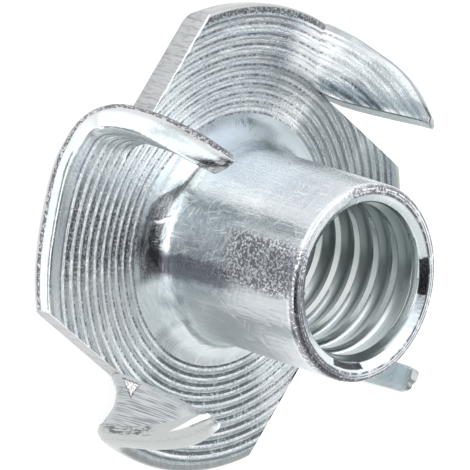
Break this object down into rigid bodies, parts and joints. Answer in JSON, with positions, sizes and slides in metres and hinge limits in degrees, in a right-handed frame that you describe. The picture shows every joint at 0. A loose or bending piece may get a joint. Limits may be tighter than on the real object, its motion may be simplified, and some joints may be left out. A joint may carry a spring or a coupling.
{
  "type": "tee nut",
  "caption": "Pronged tee nut: a stamped round flange with folded-up prongs and a drawn, internally threaded barrel, set into bored wood to take a machine screw.",
  "frame": {"origin": "centre of the flange's back face, on the barrel's axis", "axes": "+Z along the barrel's axis from the flange's back face towards the barrel's mouth; +X square to one of the straight shear lines"},
  "size_m": [0.0222, 0.0222, 0.0104],
  "materials": {
    "zinc_steel": "bright bluish zinc plate with concentric press-tool lines and fine drawing scratches"
  },
  "bodies": {
    "root": {"tee_nut": "zinc_steel"}
  },
  "joints": []
}
